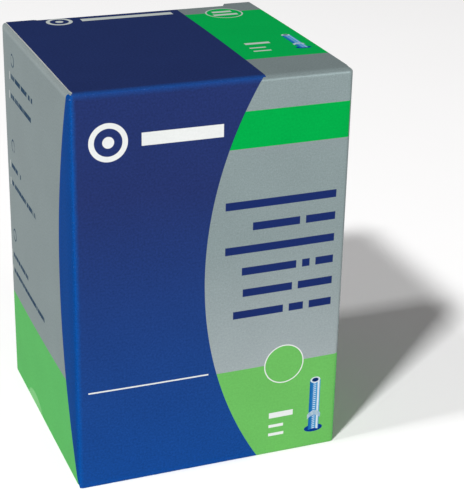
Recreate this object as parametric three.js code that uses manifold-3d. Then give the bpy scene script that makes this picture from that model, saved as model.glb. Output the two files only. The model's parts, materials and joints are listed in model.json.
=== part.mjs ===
// A bicycle inner tube in its retail folding carton.
//
// Frame: millimetres, +Z up, the front of the carton faces -Y, origin at the middle of the base.
// The carton is one piece of folding board: a sleeve of four walls closed by a glue flap, with a
// lid, a tuck flap and two dust flaps at each end. The top lid is hinged on the front wall and the
// bottom lid on the back wall. Inside lies one flattened butyl ring, folded to and fro, with its
// valve standing in the middle.

import * as THREE from 'three';
import { mergeVertices } from 'three/addons/utils/BufferGeometryUtils.js';
import Module from 'manifold-3d';

const wasm = await Module();
wasm.setup();

// ---------------------------------------------------------------- driving dimensions

// carton, outside
const WIDTH = 75; // along x
const DEPTH = 70; // along y
const HEIGHT = 110; // along z
const BOARD = 0.6; // thickness of the folding board
const CREASE = 0.3; // room left on each side of a hinged crease

// lid and tuck flap
const LID_START = 0.7; // from the hinge axis to the solid of the lid
const LID_SIDE_INSET = 0.5; // each side of the lid, inside the carton's width
const LID_FOLD_INSET = 1.2; // from the outside of the wall that the flap tucks behind to the fold
const TUCK_LENGTH = 12.5;
const TUCK_LEAN = THREE.MathUtils.degToRad(11); // inward, so that it swings clear of the wall
const TUCK_HALF_WIDTH = 36;
const TUCK_CORNER = 3.5; // cut corners of its free edge
const SLIT_LENGTH = 7; // slit lock cut into each end of the lid's fold
const EAR_GAP = 0.2; // from the ears beyond the slits to the wall
const FLAP_START = 0.6; // from a fold axis to the solid of the flap

// dust flaps
const DUST_LENGTH = 26;
const DUST_START = 0.4; // from the fold axis
const DUST_FRONT_INSET = 1.3; // from the lid's hinge axis, at the fold
const DUST_FRONT_TAPER = 0.55; // must stay over half, because a dust flap turns half as far as the lid
const DUST_BACK_Y = 32.4;
const DUST_BACK_TAPER = 0.2;
const DUST_CORNER = 2;

// glue flap
const GLUE_FLAP_WIDTH = 12;
const GLUE_FLAP_BOTTOM = 5;
const GLUE_FLAP_TOP = 95;
const GLUE_FLAP_SLOPE = 4; // fall of its angled ends

// the tube: a flattened ring, so a closed strip of double wall
const FLAT_WIDTH = 70; // lay-flat width
const FLAT_THICKNESS = 2; // two walls
const STRANDS = 10; // upright runs on each side of the valve
const NEAR_STRAND_Y = 8.25; // centre of the run beside the valve
const FAR_STRAND_Y = 32.25; // centre of the run beside the carton's wall
const STRAND_TOP = 98.2;
const STRAND_BOTTOM = 6.6;
const CORNER_DROP = 8.7; // the last fold at the top lies this much lower, under the tuck flap
const CORNER_RISE = 13.4; // and the last fold at the bottom this much higher
const BOTTOM_RUN_Z = 3.4;
const BOTTOM_RUN_FRONT_Y = -25.5;
const VALVE_FLOOR_Z = 54; // top of the strip that carries the valve
const PACKING_STRANDS = 6; // short runs under the valve
const PACKING_TOP = 50.6;
const ARC_STEPS = 4; // steps in a quarter turn of the strip

// valve, measured up from the strip that carries it
const STEM_RADIUS = 3.95;
const STEM_HEIGHT = 40;
const STEM_BOTTOM = 0.1;
const STEM_CHAMFER = 0.4;
const STEM_LOWER_BORE = 2.2;
const STEM_UPPER_BORE = 2.75;
const FOOT_RADIUS = 6;
const FOOT_TOP = 0.9;
const PAD_HALF_LENGTH = 17;
const PAD_HALF_WIDTH = 6.7;
const PAD_THICKNESS = 1.8;
const BOSS_HEIGHT = 5.5;
const BOSS_BOTTOM_RADIUS = 6.3;
const BOSS_TOP_RADIUS = 5.2;
const RUNNING_GAP = 0.15; // between parts that turn or slide on each other
const SEATED_GAP = 0.05; // between parts that sit on each other
const NUT_RADIUS = 6.3;
const NUT_BOTTOM = 9;
const NUT_HEIGHT = 3.6;
const CAP_RADIUS = 5;
const CAP_BOTTOM = 31.5;
const CAP_TOP = 43;
const CAP_ROOF = 41.6; // underside of its crown
const CAP_EDGE = 1; // sloped edge of its crown
const GASKET_RADIUS = 3.7;
const GASKET_BOTTOM = 40.2;
const GASKET_TOP = 41.3;
const ROUND_SIDES = 24;
const FINE_SIDES = 16;

// valve core
const PLUG_BOTTOM = 33.6;
const PLUG_TOP = 39.3;
const BARREL_BOTTOM = 20;
const BARREL_TOP = 33.3;
const BARREL_RADIUS = 1.9;
const BARREL_BORE = 1.5;
const BARREL_FLOOR = 21.4;
const BARREL_SEAL_BOTTOM = 24.2;
const BARREL_SEAL_TOP = 26.4;
const BORE_STEP_BOTTOM = 22.8; // the stem's bore widens here, under the seal
const BORE_STEP_TOP = 23.6;
const PIN_RADIUS = 0.4;
const PIN_TOP = 39.7;
const PIN_COLLAR_RADIUS = 1.3;
const PIN_COLLAR_Z = 30;
const PIN_COLLAR_HEIGHT = 0.7;
const CUP_RADIUS = 1.7;
const CUP_TOP = 18.8;
const CUP_HEIGHT = 1.2;
const SPRING_RADIUS = 1;
const SPRING_WIRE = 0.2; // radius of the wire
const SPRING_TURNS = 6;
const STEPS_PER_TURN = 10;

// ---------------------------------------------------------------- materials

const paint = (color, roughness, metalness = 0) =>
  new THREE.MeshStandardMaterial({ color, roughness, metalness });

const materials = {
  blueBoard: paint(0x1f3d86, 0.4),
  silverBoard: paint(0x9aa8a6, 0.4, 0.3),
  greyBoard: paint(0xcfcabd, 0.85),
  butyl: paint(0x1a1a1b, 0.7),
  platedBrass: paint(0xb9b6ac, 0.3, 1),
  brass: paint(0xb08d4a, 0.35, 1),
  steel: paint(0x9c9da0, 0.35, 1),
  blackPlastic: paint(0x151515, 0.5),
  redRubber: paint(0x8a2a20, 0.6),
};

// ---------------------------------------------------------------- helpers

function node(name, geometry, material) {
  const mesh = new THREE.Mesh(geometry, material);
  mesh.name = name;
  return mesh;
}

// a box between two corners
function box([x0, y0, z0], [x1, y1, z1]) {
  const geometry = new THREE.BoxGeometry(x1 - x0, y1 - y0, z1 - z0);
  return geometry.translate((x0 + x1) / 2, (y0 + y1) / 2, (z0 + z1) / 2);
}

// a sheet of board with the outline [x, y], lying between z and z + BOARD
function sheet(outline, z = 0) {
  const shape = new THREE.Shape(outline.map(([x, y]) => new THREE.Vector2(x, y)));
  const geometry = new THREE.ExtrudeGeometry(shape, { depth: BOARD, bevelEnabled: false });
  return geometry.translate(0, 0, z);
}

// a round piece about the z axis from a profile of [radius, z] points that goes up on its outside
function turned(profile, sides = ROUND_SIDES) {
  const points = profile.map(([radius, z]) => new THREE.Vector2(radius, z));
  return new THREE.LatheGeometry(points, sides).rotateX(Math.PI / 2);
}

// a round piece with a hole through it
const ring = (inner, outer, bottom, top, sides) =>
  turned([[inner, bottom], [outer, bottom], [outer, top], [inner, top], [inner, bottom]], sides);

function toSolid(geometry) {
  const plain = geometry.clone();
  plain.deleteAttribute('normal');
  plain.deleteAttribute('uv');
  const merged = mergeVertices(plain, 1e-4);
  return new wasm.Manifold(new wasm.Mesh({
    numProp: 3,
    vertProperties: merged.attributes.position.array,
    triVerts: new Uint32Array(merged.index.array),
  }));
}

function toGeometry(solid) {
  const mesh = solid.getMesh();
  const geometry = new THREE.BufferGeometry();
  geometry.setAttribute('position', new THREE.BufferAttribute(mesh.vertProperties, 3));
  geometry.setIndex(new THREE.BufferAttribute(mesh.triVerts, 1));
  geometry.computeVertexNormals();
  return geometry;
}

// ---------------------------------------------------------------- carton sleeve

const halfWidth = WIDTH / 2;
const halfDepth = DEPTH / 2;
const hingeDrop = BOARD + CREASE; // the wall that a lid hinges on stops this far from the lid's face
const dustFace = BOARD + CREASE; // outer face of a dust flap, down from the lid's outer face
const dustAxisDrop = dustFace + BOARD;
const sideDrop = dustAxisDrop + CREASE; // the side walls stop below the dust flaps

function sleeve() {
  const inX = halfWidth - BOARD;
  const inY = halfDepth - BOARD;
  const group = new THREE.Group();

  const front = box([-halfWidth, -halfDepth, 0], [halfWidth, -inY, HEIGHT - hingeDrop]);
  const back = box([-halfWidth, inY, hingeDrop], [halfWidth, halfDepth, HEIGHT]);
  const left = box([-halfWidth, -inY, sideDrop], [-inX, inY, HEIGHT - sideDrop]);
  const right = box([inX, -inY, sideDrop], [halfWidth, inY, HEIGHT - sideDrop]);
  group.add(node('front_panel', front, materials.blueBoard));
  group.add(node('back_panel', back, materials.blueBoard));
  group.add(node('left_side_panel', left, materials.silverBoard));
  group.add(node('right_side_panel', right, materials.silverBoard));

  // folded from the right wall and glued to the inside of the back wall
  const flapEdge = inX - GLUE_FLAP_WIDTH;
  const glueFlap = sheet([
    [inX, GLUE_FLAP_BOTTOM],
    [inX, GLUE_FLAP_TOP],
    [flapEdge, GLUE_FLAP_TOP - GLUE_FLAP_SLOPE],
    [flapEdge, GLUE_FLAP_BOTTOM + GLUE_FLAP_SLOPE],
  ]).rotateX(Math.PI / 2).translate(0, inY, 0);
  group.add(node('glue_flap', glueFlap, materials.greyBoard));
  return group;
}

// ---------------------------------------------------------------- one end of the carton

// Built as the top end, with z = 0 at the lid's outer face: the lid is hinged at the front and its
// tuck flap goes down inside the back wall. The bottom end is the same, turned half way about x.
function closure(end) {
  const group = new THREE.Group();
  const hingeY = -(halfDepth - BOARD / 2);
  const foldY = halfDepth - LID_FOLD_INSET;
  const lidX = halfWidth - LID_SIDE_INSET;
  const earX = lidX - SLIT_LENGTH;
  const lidFrontY = hingeY + LID_START;
  const lidBackY = foldY - DUST_START;
  const earY = halfDepth - BOARD - EAR_GAP;

  const lid = sheet([
    [-lidX, lidFrontY], [lidX, lidFrontY], [lidX, earY], [earX, earY],
    [earX, lidBackY], [-earX, lidBackY], [-earX, earY], [-lidX, earY],
  ], -BOARD);
  group.add(node(`${end}_lid`, lid, materials.blueBoard));

  const tuck = sheet([
    [-TUCK_HALF_WIDTH, FLAP_START],
    [TUCK_HALF_WIDTH, FLAP_START],
    [TUCK_HALF_WIDTH, TUCK_LENGTH - TUCK_CORNER],
    [TUCK_HALF_WIDTH - TUCK_CORNER, TUCK_LENGTH],
    [-TUCK_HALF_WIDTH + TUCK_CORNER, TUCK_LENGTH],
    [-TUCK_HALF_WIDTH, TUCK_LENGTH - TUCK_CORNER],
  ], -BOARD / 2);
  const tuckFlap = node(`${end}_tuck_flap`, tuck, materials.greyBoard);
  tuckFlap.rotation.x = -(Math.PI / 2 + TUCK_LEAN);
  tuckFlap.position.set(0, foldY, -BOARD);
  group.add(tuckFlap);

  for (const [side, sign] of [['left', -1], ['right', 1]]) {
    const axisX = halfWidth - BOARD / 2;
    const frontY = (d) => hingeY + DUST_FRONT_INSET + DUST_FRONT_TAPER * d;
    const backY = (d) => DUST_BACK_Y - DUST_BACK_TAPER * d;
    const corner = DUST_LENGTH - DUST_CORNER;
    const outline = [
      [DUST_START, frontY(DUST_START)],
      [corner, frontY(corner)],
      [DUST_LENGTH, frontY(corner) + DUST_CORNER],
      [DUST_LENGTH, backY(corner) - DUST_CORNER],
      [corner, backY(corner)],
      [DUST_START, backY(DUST_START)],
    ].map(([d, y]) => [sign * (axisX - d), y]);
    if (sign > 0) outline.reverse();
    group.add(node(`${end}_${side}_dust_flap`, sheet(outline, -dustAxisDrop), materials.greyBoard));
  }
  return group;
}

// ---------------------------------------------------------------- folded tube

// corner points [y, z] of the strip's centreline, once round the ring
function ringCorners() {
  const pitch = (FAR_STRAND_Y - NEAR_STRAND_Y) / (STRANDS - 1);
  const strandY = (i) => NEAR_STRAND_Y + i * pitch;
  const bottomOf = (i) => STRAND_BOTTOM + (i >= STRANDS - 3 ? CORNER_RISE : 0);
  const topOf = (i) => STRAND_TOP - (i >= STRANDS - 2 ? CORNER_DROP : 0);
  const floorZ = VALVE_FLOOR_Z - FLAT_THICKNESS / 2;
  const corners = [];

  // from the valve to the front wall, then down to the bottom run
  corners.push([-strandY(0), floorZ]);
  for (let i = 0; i < STRANDS; i += 2) {
    corners.push([-strandY(i), STRAND_TOP], [-strandY(i + 1), STRAND_TOP]);
    if (i + 2 < STRANDS) {
      corners.push([-strandY(i + 1), bottomOf(i + 1)], [-strandY(i + 2), bottomOf(i + 1)]);
    }
  }
  corners.push([-FAR_STRAND_Y, STRAND_BOTTOM + CORNER_RISE], [BOTTOM_RUN_FRONT_Y, BOTTOM_RUN_Z]);

  // short runs that fill the room under the valve
  for (let i = 0; i < PACKING_STRANDS; i += 1) {
    const y = (i - (PACKING_STRANDS - 1) / 2) * pitch;
    const ends = [[y, BOTTOM_RUN_Z], [y, PACKING_TOP]];
    corners.push(...(i % 2 === 0 ? ends : ends.reverse()));
  }

  // along the bottom to the back wall, up, and back to the valve
  corners.push([FAR_STRAND_Y, BOTTOM_RUN_Z]);
  for (let i = STRANDS - 1; i > 0; i -= 2) {
    corners.push([strandY(i), topOf(i)], [strandY(i - 1), topOf(i)]);
    if (i > 1) corners.push([strandY(i - 1), STRAND_BOTTOM], [strandY(i - 2), STRAND_BOTTOM]);
  }
  corners.push([strandY(0), floorZ]);
  return { corners, bend: pitch / 2 };
}

// the centreline with every corner rounded: points with the normal to the left of the path
function ringCentreline() {
  const { corners, bend } = ringCorners();
  const samples = [];
  corners.forEach(([y, z], i) => {
    const at = new THREE.Vector2(y, z);
    const before = new THREE.Vector2(...corners.at(i - 1)).sub(at).normalize();
    const after = new THREE.Vector2(...corners[(i + 1) % corners.length]).sub(at).normalize();
    const opening = before.angleTo(after);
    const toCentre = bend / Math.sin(opening / 2);
    const centre = before.clone().add(after).normalize().multiplyScalar(toCentre).add(at);
    const turn = Math.sign(after.clone().cross(before));
    const start = before.clone().multiplyScalar(bend / Math.tan(opening / 2)).add(at);
    const steps = Math.max(1, Math.round((ARC_STEPS * (Math.PI - opening)) / (Math.PI / 2)));
    for (let k = 0; k <= steps; k += 1) {
      const angle = turn * (Math.PI - opening) * (k / steps);
      const point = start.clone().rotateAround(centre, angle);
      const normal = centre.clone().sub(point).normalize().multiplyScalar(turn);
      samples.push({ point, normal });
    }
  });
  return samples;
}

function foldedTube() {
  const samples = ringCentreline();
  const side = (distance) =>
    samples.map(({ point, normal }) => point.clone().addScaledVector(normal, distance));
  const area = (points) => Math.abs(THREE.ShapeUtils.area(points));
  const edges = [side(FLAT_THICKNESS / 2), side(-FLAT_THICKNESS / 2)];
  edges.sort((a, b) => area(b) - area(a));
  const shape = new THREE.Shape(edges[0]);
  shape.holes.push(new THREE.Path(edges[1]));
  const geometry = new THREE.ExtrudeGeometry(shape, { depth: FLAT_WIDTH, bevelEnabled: false });
  geometry.translate(0, 0, -FLAT_WIDTH / 2);
  // the drawing's x, y and depth become the object's y, z and x
  const [x, y, z] = [new THREE.Vector3(1, 0, 0), new THREE.Vector3(0, 1, 0), new THREE.Vector3(0, 0, 1)];
  return geometry.applyMatrix4(new THREE.Matrix4().makeBasis(y, z, x));
}

// ---------------------------------------------------------------- valve

function valveBase() {
  const oval = new THREE.Shape();
  oval.absellipse(0, 0, PAD_HALF_LENGTH, PAD_HALF_WIDTH, 0, 2 * Math.PI);
  const pad = new THREE.ExtrudeGeometry(oval, {
    depth: PAD_THICKNESS,
    bevelEnabled: false,
    curveSegments: ROUND_SIDES,
  });
  const boss = turned([
    [0, 0], [BOSS_BOTTOM_RADIUS, 0], [BOSS_BOTTOM_RADIUS, PAD_THICKNESS],
    [BOSS_TOP_RADIUS, BOSS_HEIGHT], [0, BOSS_HEIGHT],
  ]);
  const stemHole = turned([
    [0, -1], [STEM_RADIUS + RUNNING_GAP, -1], [STEM_RADIUS + RUNNING_GAP, BOSS_HEIGHT + 1],
    [0, BOSS_HEIGHT + 1],
  ]);
  const footRecess = turned([
    [0, -1], [FOOT_RADIUS + RUNNING_GAP, -1],
    [FOOT_RADIUS + RUNNING_GAP, FOOT_TOP + RUNNING_GAP], [0, FOOT_TOP + RUNNING_GAP],
  ]);
  const solid = toSolid(pad).add(toSolid(boss)).subtract(toSolid(stemHole));
  return toGeometry(solid.subtract(toSolid(footRecess)));
}

const valveStem = () => turned([
  [STEM_LOWER_BORE, STEM_BOTTOM],
  [FOOT_RADIUS, STEM_BOTTOM],
  [FOOT_RADIUS, FOOT_TOP],
  [STEM_RADIUS, FOOT_TOP],
  [STEM_RADIUS, STEM_HEIGHT - STEM_CHAMFER],
  [STEM_RADIUS - STEM_CHAMFER, STEM_HEIGHT],
  [STEM_UPPER_BORE, STEM_HEIGHT],
  [STEM_UPPER_BORE, BORE_STEP_TOP],
  [STEM_LOWER_BORE, BORE_STEP_BOTTOM],
  [STEM_LOWER_BORE, STEM_BOTTOM],
]);

const dustCap = () => {
  const inner = STEM_RADIUS + 2 * RUNNING_GAP;
  return turned([
    [0, CAP_ROOF], [inner, CAP_ROOF], [inner, CAP_BOTTOM], [CAP_RADIUS, CAP_BOTTOM],
    [CAP_RADIUS, CAP_TOP - CAP_EDGE], [CAP_RADIUS - CAP_EDGE, CAP_TOP], [0, CAP_TOP],
  ]);
};

const corePin = () => turned([
  [0, CUP_TOP - CUP_HEIGHT],
  [CUP_RADIUS, CUP_TOP - CUP_HEIGHT],
  [CUP_RADIUS, CUP_TOP],
  [PIN_RADIUS, CUP_TOP],
  [PIN_RADIUS, PIN_COLLAR_Z],
  [PIN_COLLAR_RADIUS, PIN_COLLAR_Z],
  [PIN_COLLAR_RADIUS, PIN_COLLAR_Z + PIN_COLLAR_HEIGHT],
  [PIN_RADIUS, PIN_COLLAR_Z + PIN_COLLAR_HEIGHT],
  [PIN_RADIUS, PIN_TOP],
  [0, PIN_TOP],
], FINE_SIDES);

const coreBarrel = () => turned([
  [PIN_RADIUS + RUNNING_GAP, BARREL_BOTTOM],
  [BARREL_RADIUS, BARREL_BOTTOM],
  [BARREL_RADIUS, BARREL_TOP],
  [BARREL_BORE, BARREL_TOP],
  [BARREL_BORE, BARREL_FLOOR],
  [PIN_RADIUS + RUNNING_GAP, BARREL_FLOOR],
  [PIN_RADIUS + RUNNING_GAP, BARREL_BOTTOM],
], FINE_SIDES);

// one open coil between the barrel's floor and the pin's collar
class SpringWire extends THREE.Curve {
  getPoint(t, target = new THREE.Vector3()) {
    const bottom = BARREL_FLOOR + SPRING_WIRE + 2 * SEATED_GAP;
    const top = PIN_COLLAR_Z - SPRING_WIRE - 2 * SEATED_GAP;
    const angle = 2 * Math.PI * SPRING_TURNS * t;
    const x = SPRING_RADIUS * Math.cos(angle);
    const y = SPRING_RADIUS * Math.sin(angle);
    return target.set(x, y, bottom + (top - bottom) * t);
  }
}

function coreSpring() {
  const section = new THREE.Shape();
  section.absarc(0, 0, SPRING_WIRE, 0, 2 * Math.PI);
  return new THREE.ExtrudeGeometry(section, {
    extrudePath: new SpringWire(),
    steps: SPRING_TURNS * STEPS_PER_TURN,
    curveSegments: 3,
    bevelEnabled: false,
  });
}

function valve() {
  const bore = STEM_RADIUS + RUNNING_GAP;
  const pinBore = PIN_RADIUS + RUNNING_GAP;
  const nut = ring(bore, NUT_RADIUS, NUT_BOTTOM, NUT_BOTTOM + NUT_HEIGHT);
  const gasket = turned([
    [0, GASKET_BOTTOM], [GASKET_RADIUS, GASKET_BOTTOM], [GASKET_RADIUS, GASKET_TOP], [0, GASKET_TOP],
  ]);
  const plug = ring(pinBore, STEM_UPPER_BORE - RUNNING_GAP, PLUG_BOTTOM, PLUG_TOP, FINE_SIDES);
  const barrelSeal = ring(BARREL_RADIUS + SEATED_GAP, STEM_UPPER_BORE - SEATED_GAP,
    BARREL_SEAL_BOTTOM, BARREL_SEAL_TOP, FINE_SIDES);
  const cupSeal = ring(PIN_RADIUS + SEATED_GAP, CUP_RADIUS - RUNNING_GAP,
    CUP_TOP + SEATED_GAP, BARREL_BOTTOM - 2 * SEATED_GAP, FINE_SIDES);

  const group = new THREE.Group();
  group.add(node('valve_base', valveBase(), materials.butyl));
  group.add(node('valve_stem', valveStem(), materials.platedBrass));
  group.add(node('rim_nut', nut, materials.platedBrass));
  group.add(node('dust_cap', dustCap(), materials.blackPlastic));
  group.add(node('cap_gasket', gasket, materials.butyl));
  group.add(node('core_plug', plug, materials.brass));
  group.add(node('core_barrel', coreBarrel(), materials.brass));
  group.add(node('core_barrel_seal', barrelSeal, materials.redRubber));
  group.add(node('core_pin', corePin(), materials.steel));
  group.add(node('core_cup_seal', cupSeal, materials.redRubber));
  group.add(node('core_spring', coreSpring(), materials.steel));
  return group;
}

// ---------------------------------------------------------------- assembly

const top = closure('top');
top.position.z = HEIGHT;
const bottom = closure('bottom');
bottom.rotation.x = Math.PI;

const innerTube = new THREE.Group();
innerTube.add(node('tube_body', foldedTube(), materials.butyl));
const standingValve = valve();
standingValve.position.z = VALVE_FLOOR_Z;
innerTube.add(standingValve);

const boxedTube = new THREE.Group();
boxedTube.add(sleeve(), top, bottom, innerTube);

export default boxedTube;
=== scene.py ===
"""Looks of the boxed inner tube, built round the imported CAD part.

Sizes are in millimetres, in the CAD's frame: +Z up, the printed front of the carton faces -Y. Every
panel of the carton is placed from its flat blank, and the print is laid out in blank millimetres, so
it runs on over the creases as it does on the real sheet of board.
"""

import functools
import json
import math

import bpy
import numpy as np
from mathutils import Vector, noise
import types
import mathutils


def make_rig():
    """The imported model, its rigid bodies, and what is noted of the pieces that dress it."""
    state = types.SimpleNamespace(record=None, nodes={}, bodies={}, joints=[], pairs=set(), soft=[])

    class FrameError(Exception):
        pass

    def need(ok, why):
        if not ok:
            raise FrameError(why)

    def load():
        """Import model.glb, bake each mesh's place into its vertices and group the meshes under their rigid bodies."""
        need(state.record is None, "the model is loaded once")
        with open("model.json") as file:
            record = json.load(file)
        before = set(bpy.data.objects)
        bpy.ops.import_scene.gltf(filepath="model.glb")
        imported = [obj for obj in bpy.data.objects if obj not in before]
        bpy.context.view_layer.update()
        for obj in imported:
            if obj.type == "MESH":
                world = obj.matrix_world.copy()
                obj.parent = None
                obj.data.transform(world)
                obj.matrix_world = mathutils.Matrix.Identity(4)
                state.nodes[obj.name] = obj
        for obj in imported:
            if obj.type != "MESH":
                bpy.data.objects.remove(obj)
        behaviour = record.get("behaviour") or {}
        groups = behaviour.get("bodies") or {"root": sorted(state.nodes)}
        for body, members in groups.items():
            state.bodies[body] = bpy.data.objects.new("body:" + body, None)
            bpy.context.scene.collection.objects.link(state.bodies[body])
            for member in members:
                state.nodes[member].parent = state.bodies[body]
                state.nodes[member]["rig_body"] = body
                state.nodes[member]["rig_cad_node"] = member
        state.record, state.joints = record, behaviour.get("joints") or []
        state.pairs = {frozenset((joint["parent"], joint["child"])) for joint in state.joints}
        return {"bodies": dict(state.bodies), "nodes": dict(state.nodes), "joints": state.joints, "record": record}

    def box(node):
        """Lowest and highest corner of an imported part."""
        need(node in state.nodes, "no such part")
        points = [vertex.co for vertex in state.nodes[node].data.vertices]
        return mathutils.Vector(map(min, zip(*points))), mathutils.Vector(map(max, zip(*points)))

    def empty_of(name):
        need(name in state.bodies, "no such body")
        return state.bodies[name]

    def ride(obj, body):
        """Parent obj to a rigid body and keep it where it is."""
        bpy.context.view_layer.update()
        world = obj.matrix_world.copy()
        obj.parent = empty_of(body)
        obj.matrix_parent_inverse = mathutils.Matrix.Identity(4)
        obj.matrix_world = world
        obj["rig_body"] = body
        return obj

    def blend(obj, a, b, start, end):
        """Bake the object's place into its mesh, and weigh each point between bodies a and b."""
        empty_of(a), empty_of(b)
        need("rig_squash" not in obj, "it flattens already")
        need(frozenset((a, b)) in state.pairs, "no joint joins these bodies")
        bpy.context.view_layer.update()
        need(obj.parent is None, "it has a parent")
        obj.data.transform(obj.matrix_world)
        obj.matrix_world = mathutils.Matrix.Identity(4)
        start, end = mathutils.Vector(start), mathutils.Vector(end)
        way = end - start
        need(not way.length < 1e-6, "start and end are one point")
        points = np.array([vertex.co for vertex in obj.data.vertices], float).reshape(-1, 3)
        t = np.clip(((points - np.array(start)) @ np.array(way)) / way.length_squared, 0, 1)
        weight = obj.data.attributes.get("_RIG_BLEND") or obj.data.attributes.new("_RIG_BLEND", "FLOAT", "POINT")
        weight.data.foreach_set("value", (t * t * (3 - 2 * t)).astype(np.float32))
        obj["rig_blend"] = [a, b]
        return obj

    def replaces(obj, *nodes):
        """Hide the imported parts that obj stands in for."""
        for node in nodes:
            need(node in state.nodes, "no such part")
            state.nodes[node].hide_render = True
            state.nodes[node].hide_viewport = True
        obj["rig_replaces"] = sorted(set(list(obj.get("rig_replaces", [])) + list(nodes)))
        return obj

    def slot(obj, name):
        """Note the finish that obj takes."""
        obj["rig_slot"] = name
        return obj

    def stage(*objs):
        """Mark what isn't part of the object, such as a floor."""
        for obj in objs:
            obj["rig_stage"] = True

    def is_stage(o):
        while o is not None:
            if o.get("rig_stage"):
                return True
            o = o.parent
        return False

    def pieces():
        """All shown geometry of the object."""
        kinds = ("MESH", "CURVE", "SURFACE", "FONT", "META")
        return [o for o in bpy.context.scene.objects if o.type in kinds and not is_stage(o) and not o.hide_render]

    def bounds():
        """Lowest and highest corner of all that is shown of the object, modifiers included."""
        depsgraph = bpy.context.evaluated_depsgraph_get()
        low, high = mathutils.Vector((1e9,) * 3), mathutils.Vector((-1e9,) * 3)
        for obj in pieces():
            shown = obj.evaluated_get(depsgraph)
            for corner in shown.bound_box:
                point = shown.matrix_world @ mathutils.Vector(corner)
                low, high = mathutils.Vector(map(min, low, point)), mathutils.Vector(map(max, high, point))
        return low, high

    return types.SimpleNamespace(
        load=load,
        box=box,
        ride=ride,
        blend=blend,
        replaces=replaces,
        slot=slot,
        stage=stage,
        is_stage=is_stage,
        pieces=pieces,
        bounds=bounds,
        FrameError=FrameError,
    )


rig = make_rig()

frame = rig.load()
cad_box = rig.bounds()

MM = 0.001


def span(node):
    """Lowest and highest corner of a CAD node, in millimetres."""
    return [np.array(corner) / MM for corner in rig.box(node)]


# ---------------- sizes taken from the frame

(_, FRONT_Y, _), (HALF_WIDTH, FRONT_INNER_Y, _) = span("front_panel")
(_, BACK_INNER_Y, _), (_, BACK_Y, HEIGHT) = span("back_panel")
BOARD = FRONT_INNER_Y - FRONT_Y
DEPTH = BACK_Y - FRONT_Y
REPEAT = 2 * HALF_WIDTH + DEPTH  # the wrap is printed twice round the carton
PRINT_SEAM = HALF_WIDTH - 0.6  # the second printing starts here, by the front right corner
LID_HALF_WIDTH = span("top_lid")[1][0]
TUCK_HALF_WIDTH = span("top_tuck_flap")[1][0]
TUCK_TIP = span("top_tuck_flap")[0][1:]  # y and z of the inner edge of its free end
DUST_FACE = span("top_left_dust_flap")[1][2]  # height of the dust flaps' outer face
DUST_TIP = span("top_left_dust_flap")[1][0]  # x of the left one's free edge
GLUE_EDGE = span("glue_flap")[0][0]
VALVE_FLOOR = span("valve_base")[0][2]

# ---------------- sizes of the folded board

CREASE = 1.4  # outer radius of a crease
DUST_CREASE = 1.0
SHOULDER = 0.55  # the dust flaps' creases stand this far above the flaps, beside the lid
SHOULDER_RUN = 1.4  # and the flaps drop from them over this length
HAIR = 0.001  # for comparing places on the blank
FOLD = 1.3  # outer radius of the lid's fold into its tuck flap
FOLD_Y = BACK_INNER_Y - 0.35  # outside of that fold
WALL_TOP = HEIGHT - 1.6  # the front wall becomes the lid's crease here
SIDE_TOP = DUST_FACE + SHOULDER - DUST_CREASE  # the side walls become the dust flaps' creases here
BACK_TOP = HEIGHT - BOARD - 0.05  # cut edge of the back wall, under the lid's ear
CUT_BOTTOM = 0.05  # cut edge of the front wall at the bottom
EAR_X = 28.6  # the slit locks reach in to here
# the lid's corners beside the slits: the left one has slipped inside the back wall, the right one
# lies on it; both bottom ones are inside
TOP_EARS = (FOLD_Y - 0.75, BACK_Y - 0.1)
BOTTOM_EARS = (BACK_INNER_Y - 0.2, BACK_INNER_Y - 0.2)
BACK_TRIM = 0.4  # the back wall's free edge ends this far short of the corner
GLUE_Y = BACK_INNER_Y - 0.03
# level of the glue flap's ends at its crease, and how far they slope to its free edge
GLUE_TOP = (HEIGHT - 15, -4)
GLUE_BOTTOM = (5, 4)
TUCK_CORNER = 3.5
DUST_CORNER = 2.0
# where the dust flaps' front and back edges start, and how much they slope
DUST_FRONT = (1.6, 0.55)
DUST_BACK = (2.6, 0.2)
FLAT_STEP = 4.5  # between rows of points on flat board
FOLD_STEPS = 6
WALL_SWELL = (0.35, 0.4, 0.5, 0.4)  # how far the back, left, front and right walls bow out
LID_SWELL = 0.35

# ================ mesh tools


def add_object(name, data):
    thing = bpy.data.objects.new(name, data)
    bpy.context.scene.collection.objects.link(thing)
    return thing


def finish_mesh(name, points, faces, materials, slot, sharp=35, kinds=None, maps=None):
    """A mesh object from millimetre points, with its material slots, shading and UV maps."""
    mesh = bpy.data.meshes.new(name)
    mesh.from_pydata((np.asarray(points, float) * MM).tolist(), [], faces)
    for material in materials:
        mesh.materials.append(material)
    if kinds is not None:
        mesh.polygons.foreach_set("material_index", kinds)
    for map_name, coordinates in (maps or {}).items():
        layer = mesh.uv_layers.new(name=map_name)
        layer.data.foreach_set("uv", np.asarray(coordinates, np.float32).ravel())
    mesh.shade_smooth()
    mesh.set_sharp_from_angle(angle=math.radians(sharp))
    mesh.update()
    piece = add_object(name, mesh)
    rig.slot(piece, slot)
    return piece


def rotated(way, angle):
    cos, sin = math.cos(angle), math.sin(angle)
    return np.array([[cos, -sin], [sin, cos]]) @ way


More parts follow.
